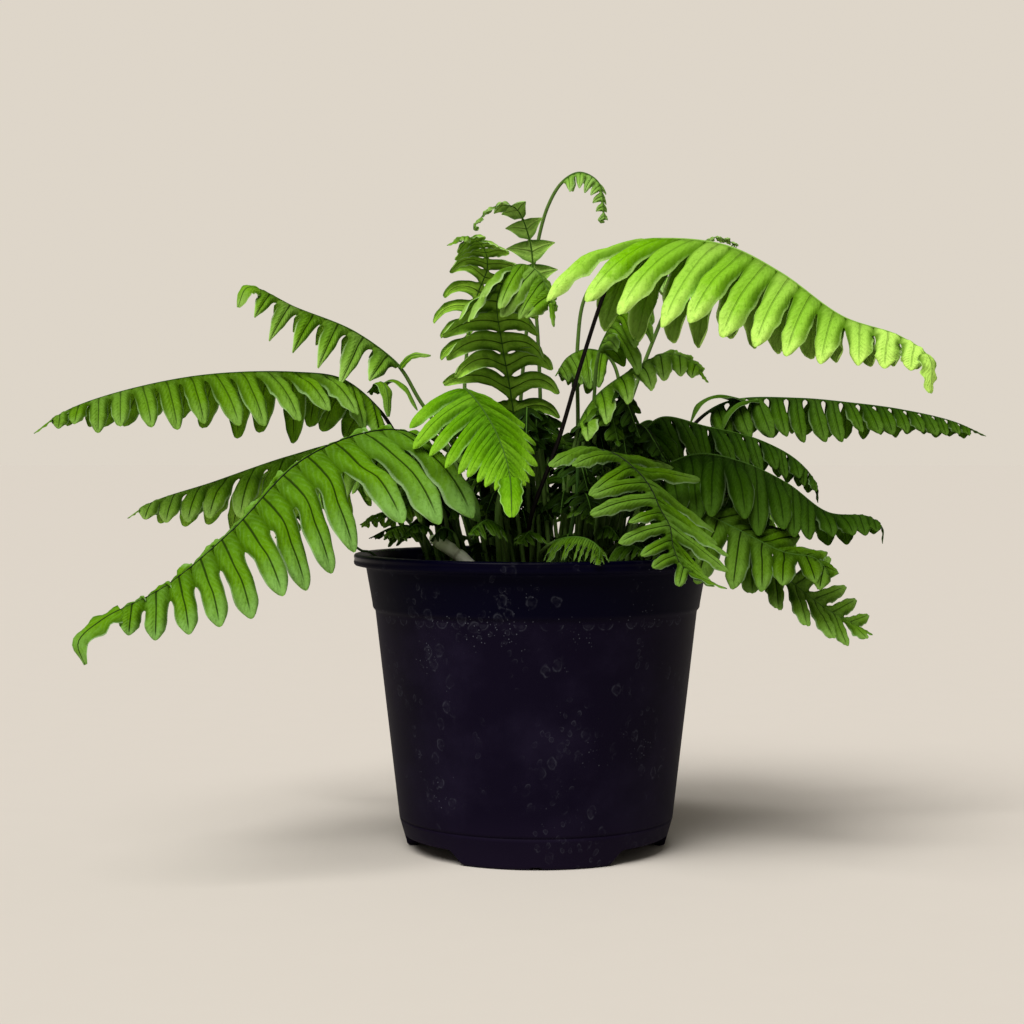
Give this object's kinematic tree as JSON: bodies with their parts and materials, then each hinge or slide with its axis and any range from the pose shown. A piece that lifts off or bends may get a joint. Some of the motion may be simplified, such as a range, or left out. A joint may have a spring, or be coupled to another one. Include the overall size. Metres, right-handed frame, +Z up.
{
  "type": "potted fern",
  "caption": "Fern with lobed, arching fronds and creeping rhizomes, growing in a round tapered plastic nursery pot filled with potting mix.",
  "frame": {"origin": "on the pot's axis, on the surface that the pot stands on, which is within 2 mm of the bottom centre of the whole plant's box", "axes": "+Z up along the pot's axis; -Y is the front, the side that the picture shows; +X is the front's right-hand side, along the fronds' longest spread"},
  "size_m": [0.4413, 0.2841, 0.3193],
  "materials": {
    "pot_plastic": "satin",
    "potting_mix": "matte",
    "rhizome_skin": "satin",
    "leaf_fresh": "satin",
    "leaf_mid": "satin",
    "leaf_deep": "satin",
    "leaf_young": "satin"
  },
  "bodies": {
    "root": {"pot": "pot_plastic", "potting_mix": "potting_mix", "rhizome_front_left": "rhizome_skin", "rhizome_right": "rhizome_skin", "rhizome_back": "rhizome_skin", "frond_upper_left": "leaf_mid", "frond_left_long": "leaf_mid", "frond_left_back": "leaf_mid", "frond_left_front": "leaf_mid", "frond_front_centre": "leaf_fresh", "frond_mid_upright": "leaf_mid", "frond_left_upright": "leaf_mid", "frond_young_left": "leaf_young", "frond_young_curl": "leaf_young", "frond_right_high": "leaf_fresh", "frond_back_curl": "leaf_young", "frond_back_arch": "leaf_young", "frond_right_upright": "leaf_deep", "frond_right_arch": "leaf_deep", "frond_mid_dark": "leaf_deep", "frond_right_long": "leaf_deep", "frond_right_second": "leaf_deep", "frond_right_third": "leaf_deep", "frond_right_low_front": "leaf_mid", "frond_right_low_mid": "leaf_mid", "frond_right_low_end": "leaf_deep", "frond_rim_feather": "leaf_deep", "frond_back_left_low": "leaf_mid", "frond_back_left": "leaf_mid", "frond_back_centre": "leaf_mid", "frond_back_right": "leaf_mid", "frond_back_right_low": "leaf_mid", "sprout_left": "leaf_mid", "sprout_left_low": "leaf_mid", "sprout_front_left": "leaf_mid", "sprout_front": "leaf_mid", "sprout_mid_right": "leaf_mid", "sprout_right": "leaf_mid", "sprout_back_right": "leaf_mid", "sprout_back": "leaf_mid", "sprout_back_left": "leaf_mid"}
  },
  "joints": []
}
